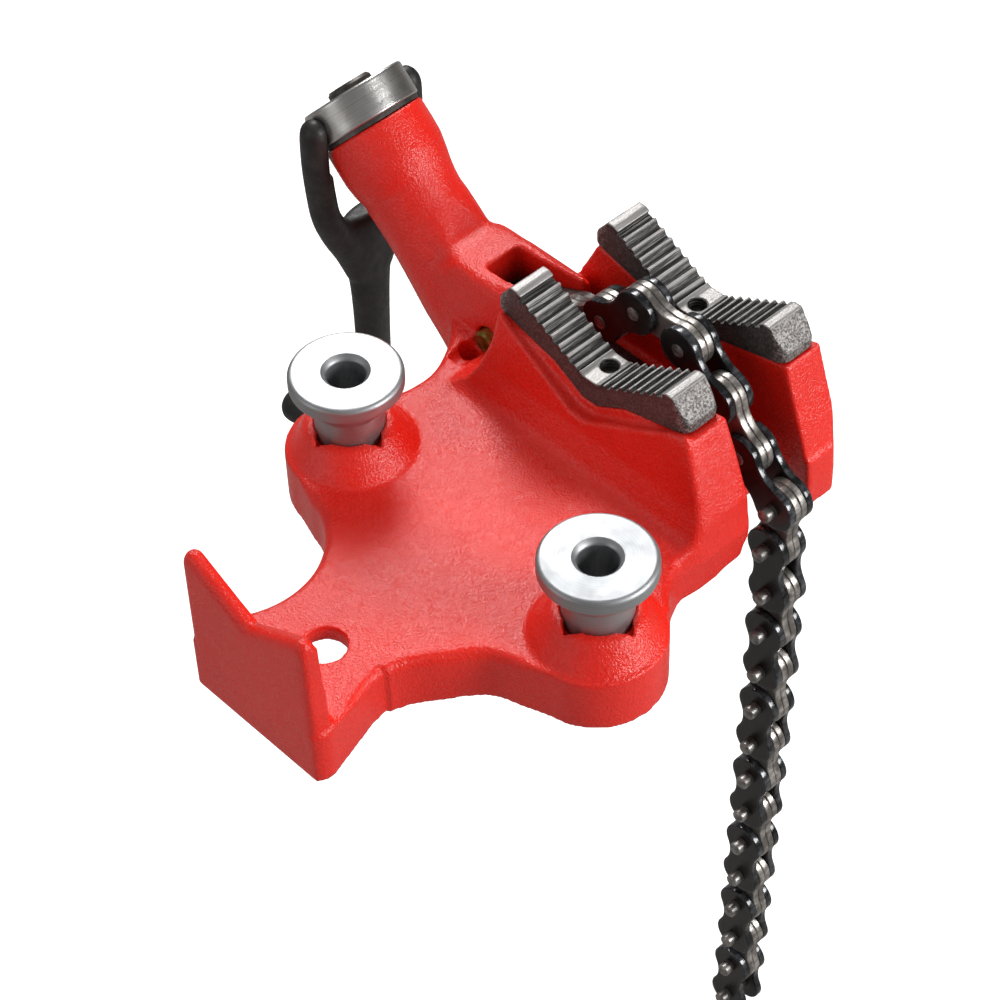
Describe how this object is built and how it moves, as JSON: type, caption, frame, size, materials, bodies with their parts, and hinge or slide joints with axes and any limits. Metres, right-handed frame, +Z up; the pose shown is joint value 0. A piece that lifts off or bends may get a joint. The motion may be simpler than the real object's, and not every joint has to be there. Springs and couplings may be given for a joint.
{
  "type": "chain pipe vise",
  "caption": "Bench vise for pipe: cast base with toothed V jaws, a pipe rest and a hinged leaf chain drawn tight by a hand nut.",
  "frame": {"origin": "midway between the two posts' bolt holes, on the underside of the base", "axes": "+X across the pipe to the side where the chain hangs, +Y along the pipe from the pipe rest towards the jaws, +Z up"},
  "size_m": [0.2643, 0.1954, 0.3383],
  "materials": {
    "red_enamel": "glossy red enamel over a cast orange-peel surface",
    "jaw_steel": "dark forged steel with bright milled crests",
    "dark_steel": "blackened steel",
    "zinc": "bright zinc plate, turned",
    "turned_steel": "bare turned steel with fine turning lines",
    "black_forging": "black forging, slightly rough",
    "nickel_plate": "bare grey steel plates, oiled",
    "black_plate": "black oxide plates with a satin gloss",
    "pin_steel": "bright ground steel pins",
    "yellow_zinc": "yellow zinc plate"
  },
  "bodies": {
    "base": {"base_casting": "red_enamel", "front_jaw": "jaw_steel", "rear_jaw": "jaw_steel", "front_jaw_screw": "dark_steel", "rear_jaw_screw": "dark_steel", "left_post": "zinc", "right_post": "zinc", "thrust_washer": "dark_steel", "crank_pivot_pin": "yellow_zinc"},
    "nut": {"handle_nut": "turned_steel"},
    "handle": {"handle": "black_forging"},
    "screw": {"draw_screw": "dark_steel", "clevis_pin": "pin_steel"},
    "crank": {"bell_crank": "dark_steel", "chain_anchor_pin": "pin_steel"},
    "link_1": {"chain_link_1": "nickel_plate"},
    "link_2": {"chain_link_2": "black_plate", "link_pins_2": "pin_steel"},
    "link_3": {"chain_link_3": "nickel_plate"},
    "link_4": {"chain_link_4": "black_plate", "link_pins_4": "pin_steel"},
    "link_5": {"chain_link_5": "nickel_plate"},
    "link_6": {"chain_link_6": "black_plate", "link_pins_6": "pin_steel"},
    "link_7": {"chain_link_7": "nickel_plate"},
    "link_8": {"chain_link_8": "black_plate", "link_pins_8": "pin_steel"},
    "link_9": {"chain_link_9": "nickel_plate"},
    "link_10": {"chain_link_10": "black_plate", "link_pins_10": "pin_steel"},
    "link_11": {"chain_link_11": "nickel_plate"},
    "link_12": {"chain_link_12": "black_plate", "link_pins_12": "pin_steel"},
    "link_13": {"chain_link_13": "nickel_plate"},
    "link_14": {"chain_link_14": "black_plate", "link_pins_14": "pin_steel"},
    "link_15": {"chain_link_15": "nickel_plate"},
    "link_16": {"chain_link_16": "black_plate", "link_pins_16": "pin_steel"},
    "link_17": {"chain_link_17": "nickel_plate"},
    "link_18": {"chain_link_18": "black_plate", "link_pins_18": "pin_steel"},
    "link_19": {"chain_link_19": "nickel_plate"},
    "link_20": {"chain_link_20": "black_plate", "link_pins_20": "pin_steel"}
  },
  "joints": [
    {"name": "nut_turn", "type": "hinge", "parent": "base", "child": "nut", "pos_m": [-0.13297, 0.0782, 0.06339], "axis": [0.7254, 0, -0.6884], "range_deg": [0, 140]},
    {"name": "handle_swing", "type": "hinge", "parent": "nut", "child": "handle", "pos_m": [-0.13297, 0.0782, 0.06339], "axis": [0, 1, 0], "range_deg": [0, 225]},
    {"name": "screw_travel", "type": "slide", "parent": "base", "child": "screw", "axis": [-0.7254, 0, 0.6884], "range_m": [0, 0.0021]},
    {"name": "crank_turn", "type": "hinge", "parent": "base", "child": "crank", "pos_m": [-0.0565, 0.0782, 0.0205], "axis": [0, 1, 0], "range_deg": [0, 5.5]},
    {"name": "chain_joint_1", "type": "hinge", "parent": "crank", "child": "link_1", "pos_m": [-0.03265, 0.0782, 0.03399], "axis": [0, 1, 0], "range_deg": [-5.5, 0]},
    {"name": "chain_joint_2", "type": "hinge", "parent": "link_1", "child": "link_2", "pos_m": [-0.01776, 0.0782, 0.04588], "axis": [0, 1, 0], "range_deg": [-25, 0]},
    {"name": "chain_joint_3", "type": "hinge", "parent": "link_2", "child": "link_3", "pos_m": [-0.00354, 0.0782, 0.05855], "axis": [0, 1, 0], "range_deg": [-25, 0]},
    {"name": "chain_joint_4", "type": "hinge", "parent": "link_3", "child": "link_4", "pos_m": [0.01531, 0.0782, 0.05583], "axis": [0, 1, 0], "range_deg": [-25, 0]},
    {"name": "chain_joint_5", "type": "hinge", "parent": "link_4", "child": "link_5", "pos_m": [0.02969, 0.0782, 0.04333], "axis": [0, 1, 0], "range_deg": [-25, 0]},
    {"name": "chain_joint_6", "type": "hinge", "parent": "link_5", "child": "link_6", "pos_m": [0.04116, 0.0782, 0.02812], "axis": [0, 1, 0], "range_deg": [-25, 0]},
    {"name": "chain_joint_7", "type": "hinge", "parent": "link_6", "child": "link_7", "pos_m": [0.05575, 0.0782, 0.01588], "axis": [0, 1, 0], "range_deg": [-25, 8]},
    {"name": "chain_joint_8", "type": "hinge", "parent": "link_7", "child": "link_8", "pos_m": [0.05425, 0.0782, -0.00312], "axis": [0, 1, 0], "range_deg": [-15, 10]},
    {"name": "chain_joint_9", "type": "hinge", "parent": "link_8", "child": "link_9", "pos_m": [0.05558, 0.0782, -0.02212], "axis": [0, 1, 0], "range_deg": [-15, 10]},
    {"name": "chain_joint_10", "type": "hinge", "parent": "link_9", "child": "link_10", "pos_m": [0.05509, 0.0782, -0.04116], "axis": [0, 1, 0], "range_deg": [-15, 10]},
    {"name": "chain_joint_11", "type": "hinge", "parent": "link_10", "child": "link_11", "pos_m": [0.05509, 0.0782, -0.06021], "axis": [0, 1, 0], "range_deg": [-15, 10]},
    {"name": "chain_joint_12", "type": "hinge", "parent": "link_11", "child": "link_12", "pos_m": [0.05449, 0.0782, -0.07925], "axis": [0, 1, 0], "range_deg": [-15, 10]},
    {"name": "chain_joint_13", "type": "hinge", "parent": "link_12", "child": "link_13", "pos_m": [0.05389, 0.0782, -0.09829], "axis": [0, 1, 0], "range_deg": [-15, 10]},
    {"name": "chain_joint_14", "type": "hinge", "parent": "link_13", "child": "link_14", "pos_m": [0.05329, 0.0782, -0.11733], "axis": [0, 1, 0], "range_deg": [-15, 10]},
    {"name": "chain_joint_15", "type": "hinge", "parent": "link_14", "child": "link_15", "pos_m": [0.05269, 0.0782, -0.13637], "axis": [0, 1, 0], "range_deg": [-15, 10]},
    {"name": "chain_joint_16", "type": "hinge", "parent": "link_15", "child": "link_16", "pos_m": [0.05209, 0.0782, -0.15542], "axis": [0, 1, 0], "range_deg": [-15, 10]},
    {"name": "chain_joint_17", "type": "hinge", "parent": "link_16", "child": "link_17", "pos_m": [0.05149, 0.0782, -0.17446], "axis": [0, 1, 0], "range_deg": [-15, 10]},
    {"name": "chain_joint_18", "type": "hinge", "parent": "link_17", "child": "link_18", "pos_m": [0.0509, 0.0782, -0.1935], "axis": [0, 1, 0], "range_deg": [-15, 10]},
    {"name": "chain_joint_19", "type": "hinge", "parent": "link_18", "child": "link_19", "pos_m": [0.0503, 0.0782, -0.21254], "axis": [0, 1, 0], "range_deg": [-15, 10]},
    {"name": "chain_joint_20", "type": "hinge", "parent": "link_19", "child": "link_20", "pos_m": [0.0497, 0.0782, -0.23158], "axis": [0, 1, 0], "range_deg": [-15, 10]}
  ],
  "couplings": [
    {"joint": "screw_travel", "follows": "nut_turn", "m_per_rad": 0.00080851},
    {"joint": "crank_turn", "follows": "nut_turn", "ratio": 0.037565},
    {"joint": "chain_joint_1", "follows": "nut_turn", "ratio": -0.037565}
  ]
}
